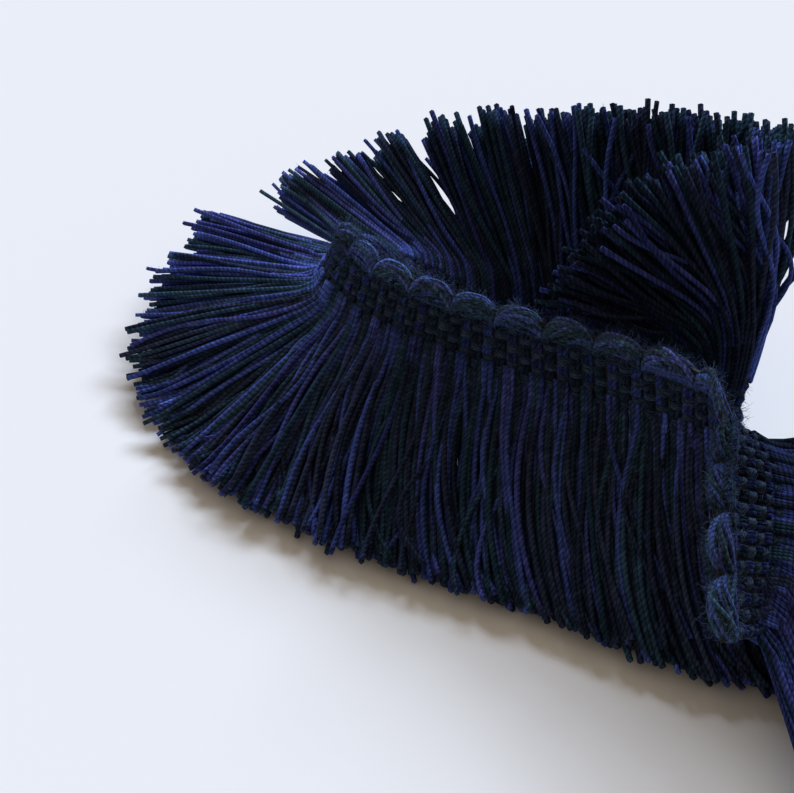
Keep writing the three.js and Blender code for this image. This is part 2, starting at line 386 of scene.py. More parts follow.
def tube_mesh(name, lines, half, colours, taper=None, corners=YARN_CORNERS):
    """One mesh of tubes along lines (yarn, step, xyz), with a colour for each yarn."""
    yarns, steps, _ = lines.shape
    radii = half * (np.ones(steps) if taper is None else taper)
    points = tube_points(lines, radii, corners) * MM
    mesh = bpy.data.meshes.new(name)
    mesh.from_pydata(points.reshape(-1, 3), [], tube_faces(yarns, steps, corners))
    mesh.polygons.foreach_set("use_smooth", np.ones(len(mesh.polygons), bool))

    run = np.linalg.norm(np.diff(lines, axis=1), axis=2)
    along = np.concatenate([np.zeros((yarns, 1)), np.cumsum(run, axis=1)], axis=1)
    turns = along / PLY_PITCH
    around = np.broadcast_to(np.arange(corners + 1) / corners, (yarns, steps, corners + 1))
    strip = (np.arange(yarns)[:, None, None] + around) / yarns
    twist = wall_map(turns, around - turns[:, :, None])
    for map_name, walls in (("yarn", twist), ("OFBake", wall_map(along / along[:, -1:], strip))):
        uv = np.zeros((len(mesh.loops), 2), np.float32)
        uv[: len(walls)] = walls
        mesh.uv_layers.new(name=map_name).uv.foreach_set("vector", uv.ravel())
    tint = mesh.color_attributes.new("yarn_colour", "FLOAT_COLOR", "POINT")
    shades = np.repeat(colours, steps * corners, axis=0)
    tint.data.foreach_set("color", shades.astype(np.float32).ravel())
    mesh.update()
    return mesh


def add_piece(mesh, material, slot, *nodes):
    """Puts a mesh in the scene as a piece of the trim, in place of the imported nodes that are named."""
    mesh.materials.append(material)
    piece = bpy.data.objects.new(mesh.name, mesh)
    bpy.context.scene.collection.objects.link(piece)
    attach(piece, "root")
    if nodes:
        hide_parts(*nodes)
    return piece


print("yarn twist: one turn in", PLY_PITCH, "mm")

# %% [markdown]
# ## Dyed yarn
# The yarn is soft spun two-ply cotton, dyed in navy, violet, dark green and near black. Two plies could be
# modelled as two tubes wound round each other, but that takes many times the faces, so one tube carries
# both as colour and bump. Each yarn's own colour is stored on its points. One ply is lighter than the
# other, the groove between them is painted darker for the shade in it, the dye is a little uneven, and
# loose fibres catch the light at grazing angles, which the sheen gives.


# %% Yarn material
def dyed_yarn(name, mottle_size, sheen_weight, sheen_colour):
    """Two-ply spun cotton in the colour of each yarn."""
    material, shader = new_material(name)
    colour = add_node(material, "ShaderNodeAttribute", attribute_name="yarn_colour")
    place = add_node(material, "ShaderNodeUVMap", uv_map="yarn")
    split = add_node(material, "ShaderNodeSeparateXYZ", {"Vector": place.outputs["UV"]})
    angle = add_node(
        material, "ShaderNodeMath", {0: split.outputs["Y"], 1: 2 * math.pi}, operation="MULTIPLY"
    )
    wave = add_node(material, "ShaderNodeMath", {0: angle.outputs[0]}, operation="COSINE")
    ply = add_node(material, "ShaderNodeMath", {0: wave.outputs[0]}, operation="ABSOLUTE")
    # painted shade: the colour is darker in the groove between the two plies
    groove = add_node(
        material,
        "ShaderNodeMapRange",
        {"Value": ply.outputs[0], "From Min": 0.05, "From Max": 0.8, "To Min": 0.45, "To Max": 1.15},
    )
    where = add_node(material, "ShaderNodeTexCoord")
    mottle = add_node(
        material,
        "ShaderNodeTexNoise",
        {"Vector": where.outputs["Object"], "Scale": 1 / (mottle_size * MM), "Detail": 3.0},
    )
    fade = add_node(
        material,
        "ShaderNodeMapRange",
        {"Value": mottle.outputs["Fac"], "From Min": 0.3, "From Max": 0.7, "To Min": 0.7, "To Max": 1.3},
    )
    tone = add_node(
        material,
        "ShaderNodeMapRange",
        {"Value": wave.outputs[0], "From Min": -1.0, "From Max": 1.0, "To Min": 0.88, "To Max": 1.12},
    )
    plies = add_node(
        material, "ShaderNodeMath", {0: groove.outputs[0], 1: tone.outputs[0]}, operation="MULTIPLY"
    )
    shade = add_node(
        material, "ShaderNodeMath", {0: plies.outputs[0], 1: fade.outputs[0]}, operation="MULTIPLY"
    )
    dyed = add_node(
        material,
        "ShaderNodeVectorMath",
        {0: colour.outputs["Color"], "Scale": shade.outputs[0]},
        operation="SCALE",
    )
    bump = add_node(
        material,
        "ShaderNodeBump",
        {"Height": ply.outputs[0], "Distance": 0.12 * MM, "Strength": 0.6},
    )
    material.node_tree.links.new(dyed.outputs[0], shader.inputs["Base Color"])
    material.node_tree.links.new(bump.outputs[0], shader.inputs["Normal"])
    shader.inputs["Roughness"].default_value = 0.8
    shader.inputs["Specular IOR Level"].default_value = 0.0
    shader.inputs["Sheen Weight"].default_value = sheen_weight
    shader.inputs["Sheen Roughness"].default_value = 0.4
    shader.inputs["Sheen Tint"].default_value = linear(sheen_colour)
    return material


fringe_yarn = dyed_yarn("two-ply fringe yarn", mottle_size=1.8, sheen_weight=0.03, sheen_colour="#7480c0")
tape_yarn = dyed_yarn("soft heading yarn", mottle_size=0.8, sheen_weight=0.15, sheen_colour="#7c92b8")
print("yarns:", fringe_yarn.name, "and", tape_yarn.name)

# %% [markdown]
# ## The lie of the strands
# The cut yarns leave the tape eight deep, side by side, and turn to the lie of their fold. How they hold
# together changes along the trim: in front they hang close and sway a little, at the back the yarns of a
# few ribs cling together and leave gaps between the tips, and at the rolled tail end they spring up and
# fall over like a fountain. A short table gives these habits at a few folds. Its first columns are the
# number of strands against the usual one, which is higher where the fringe fans out, the share of bright
# yarns among those that are not in their rib's own colour, and the tone, which is painted light: it makes
# the colour of each part lighter or darker, to stand for how much light reaches it. Then come
# how far they cling to their rib and clump, and how much they stray to the side, stray upward, differ in
# length, arch, sway and bow. The last is what a strand loses in reach because it curls.

# %% Strand habits
HABIT_COLUMNS = (
    "fold", "number", "bright", "tone", "rib_cling", "clump_cling", "scatter", "lift", "ragged",
    "arch", "sway", "bow", "curl",
)  # ragged and curl are in millimetres, and from scatter to bow the others are slopes against the lie
HABITS = np.array([
    (0.0, 1.8, 0.60, 0.85, 0.2, 0.0, 0.03, 0.04, 0.5, 0.10, 0.10, 0.00, 1.0),
    (2.0, 1.6, 0.40, 0.55, 0.2, 0.0, 0.04, 0.04, 0.5, 0.08, 0.12, 0.00, 1.0),
    (3.4, 1.2, 0.25, 0.55, 0.3, 0.0, 0.05, 0.04, 0.4, 0.07, 0.18, 0.20, 0.6),
    (4.0, 1.0, 0.20, 1.35, 0.4, 0.0, 0.05, 0.04, 0.4, 0.06, 0.20, 0.30, 0.5),
    (6.0, 1.0, 0.20, 1.05, 0.4, 0.0, 0.05, 0.04, 0.4, 0.06, 0.20, 0.22, 0.5),
    (8.0, 1.0, 0.20, 1.00, 0.4, 0.0, 0.06, 0.04, 0.4, 0.06, 0.20, 0.15, 0.5),
    (10.0, 1.8, 0.35, 1.45, 0.3, 0.0, 0.10, 0.05, 0.5, 0.05, 0.24, 0.00, 2.0),
    (11.4, 2.3, 0.45, 1.80, 0.4, 0.1, 0.10, 0.07, 0.8, 0.03, 0.28, 0.00, 4.0),
    (12.0, 2.0, 0.35, 1.60, 0.3, 0.3, 0.07, 0.06, 1.0, 0.00, 0.20, 0.00, 3.0),
    (13.0, 1.3, 0.30, 1.60, 0.3, 0.3, 0.04, 0.04, 1.1, 0.00, 0.10, 0.00, 1.5),
    (13.5, 1.3, 0.40, 1.80, 0.1, 0.6, 0.03, 0.04, 0.8, 0.00, 0.05, 0.00, 1.0),
    (14.5, 1.3, 0.30, 1.80, 0.1, 0.7, 0.04, 0.05, 0.8, 0.00, 0.06, 0.00, 1.0),
    (16.5, 1.2, 0.20, 0.70, 0.0, 0.6, 0.05, 0.06, 0.7, 0.00, 0.10, 0.00, 1.0),
    (18.5, 1.2, 0.10, 0.75, 0.0, 0.3, 0.08, 0.08, 0.7, 0.00, 0.20, 0.00, 1.0),
    (20.5, 1.3, 0.20, 0.90, 0.0, 0.0, 0.10, 0.10, 0.8, 0.05, 0.40, 0.00, 0.5),
    (22.0, 1.4, 0.30, 1.35, 0.0, 0.0, 0.11, 0.10, 0.9, 0.14, 0.45, 0.00, 2.0),
    (23.0, 1.4, 0.15, 0.60, 0.0, 0.0, 0.12, 0.10, 1.0, 0.20, 0.50, 0.00, 3.0),
    (24.0, 2.6, 0.20, 0.60, 0.0, 0.0, 0.12, 0.10, 1.0, 0.25, 0.50, 0.00, 11.0),
])


def habit(name, fold):
    """One column of the table of habits, between its rows."""
    return np.interp(fold, HABITS[:, 0], HABITS[:, HABIT_COLUMNS.index(name)])


print("strand habits:", len(HABITS), "rows,", len(HABIT_COLUMNS) - 1, "habits")

# %% [markdown]
# ## The colour order
# The weft is thrown in turn from a bright and a dark shuttle, one rib of the weave at a time. The same
# yarns run on below the tape as the fringe, so each rib's colour goes on into the strands under it. The
# bright yarns are mostly on the two faces of the fringe, over a darker filling. One seeded generator draws
# all that is random, so the trim is the same each time.

# %% Colours by rib
SEED = 12
RIB_PITCH = 2.25  # one rib of the weave, along the tape
DYE_RANGE = (0.65, 1.3)  # how light or dark the dye came out in single yarns
PALETTE = {
    "blue": linear("#34427b"),
    "violet": linear("#363d74"),
    "green": linear("#243647"),
    "black": linear("#252c40"),
}
PALETTE_ROWS = np.array(list(PALETTE.values()))  # two bright, then two dark

rng = np.random.default_rng(SEED)
ribs = int(TRIM_LENGTH / RIB_PITCH)
bright_ribs = rng.choice(["blue", "blue", "violet"], ribs)
dark_ribs = rng.choice(["green", "black"], ribs)
rib_names = np.where(np.arange(ribs) % 2 == 0, bright_ribs, dark_ribs)
RIB_COLOURS = np.array([PALETTE[name] for name in rib_names])


def rib_at(along):
    """The rib of the weave at places along the trim."""
    return np.clip((along / RIB_PITCH).astype(int), 0, ribs - 1)


def yarn_colours(along, own_share):
    """Colours of yarns at places along the trim: this share has its rib's own, and the rest is mixed."""
    fold = fold_at(along)
    bright = rng.random(len(along)) < habit("bright", fold)
    others = PALETTE_ROWS[np.where(bright, 0, 2) + rng.integers(0, 2, len(along))]
    rows = np.where(rng.random((len(along), 1)) < own_share, RIB_COLOURS[rib_at(along)], others)
    # the tone of the fold is painted light: the colour is lighter or darker by how much light reaches that
    # part
    return rows * (habit("tone", fold) * rng.uniform(*DYE_RANGE, len(along)))[:, None]


print("ribs:", ribs)

# %% [markdown]
# ## Strand lines
# A strand's centre line is walked step by step: it starts in the weave, heads down along the tape, turns
# to its lie at the fringe line, and sways from side to side as it goes. Where it reaches the table it lies
# level, on the strands below it. Blender's hair could be combed to such a lie, but a walk follows the fold
# table closely and leaves a centre line for the tubes. The strands on the two faces of the fringe are
# seen, so they get more steps than those between them.

# %% Places of the strands
YARN_SPACING = 0.68
LAYER_SHIFTS = (0.0, 0.5, 0.0, 0.5, 0.25, -0.25, 0.25, 0.5)  # so that a layer closes the gaps of the next
PLACE_NOISE = 0.25  # of the spacing, to both sides

layer_strands = int(TRIM_LENGTH / YARN_SPACING)
numbers_along = np.concatenate([[0], np.cumsum(habit("number", fold_steps[1:]) * steps_along)])


def strand_places(layer):
    """Places along the trim of one layer of strands, closer together where the fringe fans out."""
    shift = LAYER_SHIFTS[layer] + rng.uniform(-PLACE_NOISE, PLACE_NOISE, layer_strands)
    order = np.clip((np.arange(layer_strands) + 0.5 + shift) / layer_strands, 0, 1)
    return np.interp(order * numbers_along[-1], numbers_along, lengths_along)


print("strands in a layer:", layer_strands)

# %% Lies of the strands
CLUMP_WIDTH = 3 * RIB_PITCH
RIB_DRAW = 0.6  # how far a clinging strand's tip is drawn to the middle of its rib
CLUMP_DRAW = 0.4  # and of its clump
STRAY_SHARE = 0.04
STRAY_SWING = 2.5  # times the usual scatter
STRAY_FOLDS = (2, 22)  # none stray further to the side at the two ends
TAIL_FOLD = 22.5  # from here on the strands stray only upward and back
TAIL_RAISE = 0.15  # and rise more and more, up to this at the end


def smooth_step(low, high, value):
    """An eased ramp from 0 to 1."""
    share = np.clip((value - low) / (high - low), 0, 1)
    return share * share * (3 - 2 * share)


def strand_lies(at, along, freedom):
    """Each strand's lie, drawn to those of its rib and clump, with a scatter of its own."""
    rib = TrimFrame((rib_at(along) + 0.5) * RIB_PITCH)
    clump = TrimFrame(np.clip((np.floor(along / CLUMP_WIDTH) + 0.5) * CLUMP_WIDTH, 0, TRIM_LENGTH))
    rib_cling = freedom * habit("rib_cling", at.fold)[:, None]
    clump_cling = habit("clump_cling", at.fold)[:, None]
    lie = unit(at.lie + (rib.lie - at.lie) * rib_cling + (clump.lie - at.lie) * clump_cling)
    drawn = (rib.root - at.root) * rib_cling * RIB_DRAW
    drawn += (clump.root - at.root) * clump_cling * CLUMP_DRAW
    side = unit(np.cross(lie, UP))
    rise = np.cross(side, lie)
    may_stray = (at.fold > STRAY_FOLDS[0]) & (at.fold < STRAY_FOLDS[1])
    stray = np.where((rng.random(len(along)) < STRAY_SHARE) & may_stray, STRAY_SWING, 1)
    swing = freedom * habit("scatter", at.fold) * stray * rng.normal(0, 1, len(along))
    lift = habit("lift", at.fold) * rng.normal(0, 1, len(along))
    swing, lift = (np.where(at.fold < TAIL_FOLD, v, np.abs(v)) for v in (swing, lift))
    lift += TAIL_RAISE * smooth_step(TAIL_FOLD, LAST_FOLD, at.fold)
    return unit(lie + side * swing[:, None] + rise * lift[:, None]), side, rise, drawn


print("stray strands:", round(100 * STRAY_SHARE), "in a hundred")

# %% Sway by rib
WAVE_RANGE = (0.5, 1.3)  # waves of the sway along a strand
BOW_RANGE = (0.2, 1.8)  # against the bow in the table of habits

rib_waves = rng.uniform(*WAVE_RANGE, ribs)  # the strands of a rib sway and bow together
rib_phases = rng.uniform(0, 2 * math.pi, ribs)
rib_bows = rng.uniform(*BOW_RANGE, ribs)
print("waves along a strand:", round(rib_waves.min(), 1), "to", round(rib_waves.max(), 1))

# %% Walks of the strands
FRINGE_LENGTH = 42
LAYERS = len(LAYER_SHIFTS)
LAYER_SPACING = 0.3  # at the roots, out of the tape's face
FLARE = 0.03  # how far the layers part, for each millimetre between their roots
FACE_STEPS = 44
INNER_STEPS = 12
INNER_SWING = 0.4  # of the usual sway and scatter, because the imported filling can't move
ROOT_OVER = 1.9  # strands whose rib passes over the lowest warp band start here, up the tape
ROOT_UNDER = 0.5  # and the others here
UNDER_OUT = 0.6  # of the layer's place out of the face, for the others' roots
SWAY_GAMMA = (2.0, 0.5)  # shape and scale: the mean is 1, and a few sway far more
WAVE_NOISE = 0.1
FACE_PHASE_NOISE = 0.6  # the seen strands of a rib sway nearly in step
INNER_PHASE_NOISE = 3
INNER_HALF = 0.5  # a little thicker than the seen ones, which closes the view through the fringe
REST_STEP = 0.36  # how far each layer lies above the one below it on the table
REST_SOFTNESS = 1.0  # how gently a strand comes to rest, in square millimetres


def weft_over(rib, face):
    """True where the weft passes over the lowest warp band on a face of the tape, -1 or 1."""
    return (-1.0) ** rib * face < 0


def strand_lines(layer, along, seen):
    """Centre lines of one layer of strands."""
    at = TrimFrame(along)
    steps = FACE_STEPS if seen else INNER_STEPS
    freedom = 1 if seen else INNER_SWING
    lie, side, rise, drawn = strand_lies(at, along, freedom)
    out = (layer - (LAYERS - 1) / 2) * LAYER_SPACING
    lie = unit(lie + at.face * FLARE * out)
    rib = rib_at(along)
    over_warp = weft_over(rib, np.sign(out))
    root_up = np.where(over_warp, ROOT_OVER, ROOT_UNDER)
    ragged = habit("ragged", at.fold) * rng.normal(0, 1, layer_strands)
    length = FRINGE_LENGTH - habit("curl", at.fold) + root_up + ragged
    arch = habit("arch", at.fold)
    sway = freedom * habit("sway", at.fold) * rng.gamma(*SWAY_GAMMA, layer_strands)
    waves = rib_waves[rib] + rng.normal(0, WAVE_NOISE, layer_strands)
    phase_noise = FACE_PHASE_NOISE if seen else INNER_PHASE_NOISE
    phase = rib_phases[rib] + rng.normal(0, phase_noise, layer_strands)
    bow = habit("bow", at.fold) * (rib_bows[rib] if seen else 1)

    point = at.point(root_up, np.where(over_warp, out, UNDER_OUT * out))
    walk = [point]
    for share in np.linspace(0, 1, steps)[1:]:
        turned = smooth_step(0, at.turn * FRINGE_LENGTH, share * length - root_up)[:, None]
        swing = sway * np.sin(2 * math.pi * waves * share + phase) + bow * (1 - 2 * share)
        bent = lie + side * swing[:, None] + rise * (arch * (1 - 2 * share))[:, None]
        heading = unit(-at.across + (bent + at.across) * turned)
        point = point + heading * (length / (steps - 1))[:, None]
        walk.append(point + drawn * share**2)
    line = np.stack(walk, axis=1)

    upper = np.where(at.face[:, 2] > 0, layer, LAYERS - 1 - layer)
    rest = (INNER_HALF + REST_STEP * upper)[:, None]
    over = line[..., 2] - rest
    line[..., 2] = rest + 0.5 * (over + np.sqrt(over**2 + REST_SOFTNESS))
    return line


print("strand length:", FRINGE_LENGTH, "mm below the fringe line, in", LAYERS, "layers")

# %% Strands of all layers
OWN_SHARES = (0.65, 0.3, 0.15, 0.15)  # of yarns in their rib's own colour, from each face inward

strands = []
for layer in range(LAYERS):
    depth = min(layer, LAYERS - 1 - layer)
    seen = depth == 0
    along = strand_places(layer)
    lines = strand_lines(layer, along, seen)
    strands.append((seen, fold_at(along), lines, yarn_colours(along, OWN_SHARES[depth])))
print("strands:", layer_strands * LAYERS)

# %% [markdown]
# ## The fringe
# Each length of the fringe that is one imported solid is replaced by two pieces, its seen strands and the
# plain ones between them. One mesh for the whole fringe would have more triangles than a piece should.

# %% Fringe pieces
YARN_HALF = 0.43

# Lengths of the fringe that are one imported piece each, from fold to fold
FRINGE_PARTS = (
    ("fringe_near_end", 0, 2),
    ("fringe_corner", 2, 3.5),
    ("fringe_front_right", 3.5, 6.3),
    ("fringe_front_left", 6.3, 8.6),
    ("fringe_left_turn", 8.6, 11),
    ("fringe_left_back", 11, 13.4),
    ("fringe_back_left", 13.4, 16.4),
    ("fringe_back_right", 16.4, 18.8),
    ("fringe_right_turn", 18.8, 20.4),
    ("fringe_tail_right", 20.4, 21.6),
    ("fringe_tail_top", 21.6, 22.7),
    ("fringe_tail_left", 22.7, LAST_FOLD),
)


def strands_between(first, last, wanted):
    """Lines and colours of the seen or the inner strands that leave the tape between two folds."""
    lines = []
    colours = []
    for seen, fold, layer_lines, layer_colours in strands:
        if seen == wanted:
            here = (fold >= first) & ((fold < last) | (last == LAST_FOLD))
            lines.append(layer_lines[here])
            colours.append(layer_colours[here])
    return np.concatenate(lines), np.concatenate(colours)


fringe_pieces = []
for node, first, last in FRINGE_PARTS:
    label = node.replace("fringe_", "strands_")
    lines, colours = strands_between(first, last, True)
    mesh = tube_mesh(label, lines, YARN_HALF, colours)
    fringe_pieces.append(add_piece(mesh, fringe_yarn, "fringe_yarn", node))
    lines, colours = strands_between(first, last, False)
    mesh = tube_mesh(label + "_inner", lines, INNER_HALF, colours)
    fringe_pieces.append(add_piece(mesh, fringe_yarn, "fringe_yarn"))
print("fringe:", 2 * sum(len(piece.data.polygons) for piece in fringe_pieces), "triangles")

# %% [markdown]
# ## The heading's ground
# The heading is a narrow woven sheet. Its ground is a thin sheet along the folds, which closes the view
# through the weave, and the yarns of the weave lie on both of its faces. A grid is moved onto the folds,
# and a Solidify modifier gives it its thickness. It is matt, a little uneven and nearly black: dark cotton,
# painted darker still as the shade in the gaps of the weave.

# %% Heading ground
GROUND_THICK = 0.5
GROUND_TOP = 10.4  # the loops go on above it
GROUND_STEP = 1.0
GROUND_ROWS = 8
GRID_HALF = 0.5  # moved by as much, the grid's places are shares from 0 to 1
GROUND_THREAD = 0.8  # size of the dark and less dark spots
# nearly black: dark cotton, painted darker still as the shade in the gaps of the weave
GROUND_SHADE_COLOURS = (linear("#0a0d13"), linear("#141b24"))

ground_shape = bmesh.new()
bmesh.ops.create_grid(
    ground_shape, x_segments=int(TRIM_LENGTH / GROUND_STEP), y_segments=GROUND_ROWS, size=GRID_HALF
)
shares = np.array([vertex.co[:2] for vertex in ground_shape.verts]) + GRID_HALF
ground_frame = TrimFrame(shares[:, 0] * TRIM_LENGTH)
for vertex, point in zip(ground_shape.verts, ground_frame.point(shares[:, 1] * GROUND_TOP, 0)):
    vertex.co = Vector(point) * MM
ground_mesh = bpy.data.meshes.new("heading_ground")
ground_shape.to_mesh(ground_mesh)
ground_shape.free()

ground_cloth, ground_shader = new_material("dark ground of the weave")
where = add_node(ground_cloth, "ShaderNodeTexCoord")
threads = add_node(
    ground_cloth,
    "ShaderNodeTexNoise",
    {"Vector": where.outputs["Object"], "Scale": 1 / (GROUND_THREAD * MM), "Detail": 2.0},
)
ground_colour = add_node(
    ground_cloth,
    "ShaderNodeMix",
    {"Factor": threads.outputs["Fac"], "A": GROUND_SHADE_COLOURS[0], "B": GROUND_SHADE_COLOURS[1]},
    data_type="RGBA",
)
ground_cloth.node_tree.links.new(ground_colour.outputs["Result"], ground_shader.inputs["Base Color"])
ground_shader.inputs["Roughness"].default_value = 0.9
ground = add_piece(ground_mesh, ground_cloth, "tape_yarn", "heading_tape")
thicken = ground.modifiers.new("thickness", "SOLIDIFY")
thicken.thickness = GROUND_THICK * MM
thicken.offset = 0
print("ground:", len(ground_mesh.polygons), "faces")

# %% [markdown]
# ## The form of a bobble
# At the top of the heading the weft turns back in a row of soft bobbles, each over four ribs. A bobble is
# a plump spindle along the edge, whose ends dive back into the tape. The weft rides up onto the bobbles, so
# their form comes before the weave.

# %% Form of a bobble
LOOP_PITCH = 9  # along the tape
LOOP_MIDDLE = 9.7  # up the tape
LOOP_HALF_LENGTH = 4.6
LOOP_RADIUS_UP = 1.85
LOOP_RADIUS_OUT = 1.55
LOOP_FULLNESS = 2.3  # 2 would be an ellipse, and more is plumper
LOOP_CUT = 0.97  # of the spindle's length is used, so that its ends stay blunt
LOOP_DIVE = 1.8  # how far the ends go down into the tape
LEAST_STAND = 0.05  # keeps the root of the height real above and below a bobble


def bobble_swell(reach):
    """How plump a bobble is, from end to end of it."""
    return (1 - np.abs(LOOP_CUT * reach) ** LOOP_FULLNESS) ** (1 / LOOP_FULLNESS)


def bobble_middle(reach):
    """How far up the tape the middle of a bobble is, which dives at its ends."""
    return LOOP_MIDDLE - LOOP_DIVE * np.abs(reach) ** 4


def bobble_face(reach, up):
    """How far a bobble stands out of the tape's middle plane."""
    swell = bobble_swell(reach)
    height = (up - bobble_middle(reach)) / (LOOP_RADIUS_UP * swell)
    return LOOP_RADIUS_OUT * swell * np.sqrt(np.clip(1 - height**2, LEAST_STAND, 1))


print("bobble:", 2 * LOOP_HALF_LENGTH, "mm long,", 2 * LOOP_RADIUS_OUT, "mm thick")

# %% [markdown]
# ## Weft and warp
# Weft yarns run up and down the heading, three side by side in each rib, and fine dark warp threads run
# along it in six bands. Warp and weft pass over and under each other in turn, as in any plain weave, so
# the bright ribs show as small bumps in a checker, with fine dark lines between them. A bump map on the
# ground could draw the checker, but it would stay flat at the edges of the folds, so each yarn is a tube.

# %% Weft ribs
WARP_ROWS = 6
WARP_PITCH = 1.43  # up the tape
WEAVE_TOP = WARP_ROWS * WARP_PITCH
WEFT_STEPS = 22
WEFT_HALF = 0.42
WEFT_SPACING = 0.56
WEFT_NOISE = 0.05  # along the tape
WEFT_FOOT = 0.2  # up the tape
WEFT_RUNS = (WEAVE_TOP - 0.4, WEAVE_TOP + 1.1)  # how far up a yarn goes from there
WEFT_OUT = 0.48  # out of the middle plane, for the middle yarn of a rib
WEFT_SIDE_DROP = 0.14  # the two beside it lie lower
WEFT_SWELL = 0.4  # over and under that
SWELL_RANGE = (0.75, 1.15)
WEFT_SINK = 0.15  # into the bobble
RIDE_UP = (WEAVE_TOP - 1.2, WEAVE_TOP - 0.2)  # up the tape, where the yarns ride onto the bobbles
TAPER_START = 0.85  # of the way up
TAPER_LOSS = 0.6  # of the thickness, at the top
WEFT_OWN_SHARE = 0.8  # of yarns in their rib's own colour
WEFT_SHADE = 0.62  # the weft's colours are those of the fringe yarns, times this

weft_share = np.linspace(0, 1, WEFT_STEPS)
WEFT_TAPER = 1 - TAPER_LOSS * smooth_step(TAPER_START, 1, weft_share)
rib_numbers = np.arange(ribs)
rib_middles = (rib_numbers + 0.5) * RIB_PITCH
rib_reach = rib_middles / LOOP_PITCH % 1 * 2 - 1  # from end to end of its bobble
weft_lines = []
weft_colours = []
weft_faces = []
for face in (-1, 1):
    for place in (-1, 0, 1):
        along = rib_middles + place * WEFT_SPACING + rng.normal(0, WEFT_NOISE, ribs)
        at = TrimFrame(along)
        up = WEFT_FOOT + rng.uniform(*WEFT_RUNS, (ribs, 1)) * weft_share
        over = -np.cos(math.pi * (up / WARP_PITCH - 0.5 + rib_numbers[:, None]))
        swell = WEFT_SWELL * rng.uniform(*SWELL_RANGE, (ribs, 1))
        woven = face * (WEFT_OUT - WEFT_SIDE_DROP * abs(place)) + swell * over
        on_loop = face * (bobble_face(rib_reach[:, None], up) - WEFT_SINK)
        out = woven + (on_loop - woven) * smooth_step(*RIDE_UP, up)
        line = at.root[:, None] + at.across[:, None] * up[..., None] + at.face[:, None] * out[..., None]
        weft_lines.append(line)
        weft_colours.append(WEFT_SHADE * yarn_colours(along, WEFT_OWN_SHARE))
        weft_faces.append(face * at.face)
weft_lines = np.concatenate(weft_lines)
weft_faces = np.concatenate(weft_faces)
weft_lines[..., 2] = np.maximum(weft_lines[..., 2], WEFT_HALF)
weft = add_piece(
    tube_mesh("heading_weft", weft_lines, WEFT_HALF, np.concatenate(weft_colours), WEFT_TAPER),
    tape_yarn,
    "tape_yarn",
)
print("weft:", len(weft_lines), "yarns,", 2 * len(weft.data.polygons), "triangles")

# %% Warp threads
WARP_THREADS = 4  # in each band
WARP_SPACING = 0.33
WARP_HALF = 0.2
WARP_STEP = 0.56
WARP_OUT = 0.95  # out of the middle plane, where a thread passes over the weft
WARP_OUT_NOISE = 0.06
WARP_WANDER = 0.07  # up and down the tape
WANDER_LENGTHS = (2, 5)  # for each radian of the wandering
WANDER_PHASES = (0, 6)
WARP_COLOURS = np.array([linear("#202c3a"), linear("#293649"), linear("#344155")])

warp_along = np.linspace(0, TRIM_LENGTH, int(TRIM_LENGTH / WARP_STEP))
at = TrimFrame(warp_along)
warp_lines = []
for row in range(WARP_ROWS):
    over = np.cos(math.pi * (warp_along / RIB_PITCH - 0.5 + row))
    for thread in range(WARP_THREADS):
        height = (row + 0.5) * WARP_PITCH + (thread - (WARP_THREADS - 1) / 2) * WARP_SPACING
        wave = np.sin(warp_along / rng.uniform(*WANDER_LENGTHS) + rng.uniform(*WANDER_PHASES))
        out = (WARP_OUT + rng.uniform(-WARP_OUT_NOISE, WARP_OUT_NOISE)) * over
        warp_lines.append(at.point(height + WARP_WANDER * wave, out))
warp_lines = np.stack(warp_lines)
warp_lines[..., 2] = np.maximum(warp_lines[..., 2], WARP_HALF)
warp_shades = WARP_COLOURS[rng.integers(0, len(WARP_COLOURS), len(warp_lines))]
warp = add_piece(
    tube_mesh("heading_warp", warp_lines, WARP_HALF, warp_shades),
    tape_yarn,
    "tape_yarn",
)
print("warp:", len(warp_lines), "threads,", 2 * len(warp.data.polygons), "triangles")

# %% [markdown]
# ## The looped edge
# The yarns of a bobble run along the edge, bulge out in the middle, and dive back into the tape at both
# ends. A plump solid with a yarn pattern would be simpler, but its outline would be too smooth. So each
# bobble is wound from yarns, to the left and right, over a core of a few thick ones that closes the view
# between them. Light and shade are painted on: the yarns of the outer edge are lighter and those of the
# lower side darker, as if the top of each bobble were in light and its lower side in shade.

# %% Bobbles
LOOP_YARNS = 34
LOOP_STEPS = 16
LOOP_YARN_HALF = 0.34
LOOP_PLUMP = (0.82, 1.12)  # of the bobble's own radius, from yarn to yarn
LOOP_PAINTED_EDGE_LIGHT = 0.4  # painted light and shade: how much lighter the outer edge is than the middle, and the lower side darker
LOOP_PAINTED_LIGHT_TOP = 1.2  # painted light: the bobbles take the tone of their fold, but no more than this
CORE_YARNS = 5
CORE_YARN_HALF = 0.8
CORE_PLUMP = (0.5, 0.5)
WIND_NOISE = 0.2  # radians round the bobble
WIND_TURN = (0.4, 0.8)  # mean and spread of how far a yarn winds from its middle to an end, in radians
LOOP_COLOURS = np.array([linear(c) for c in ("#3e5089", "#3e467a", "#354e63", "#2b3d47", "#27313c")])

loops = int(TRIM_LENGTH / LOOP_PITCH)
reach = np.linspace(-1, 1, LOOP_STEPS)
loop_middles = (np.arange(loops) + 0.5) * LOOP_PITCH
# painted light: each bobble is lighter or darker by the tone of its fold
loop_painted_light = np.minimum(habit("tone", fold_at(loop_middles)), LOOP_PAINTED_LIGHT_TOP)


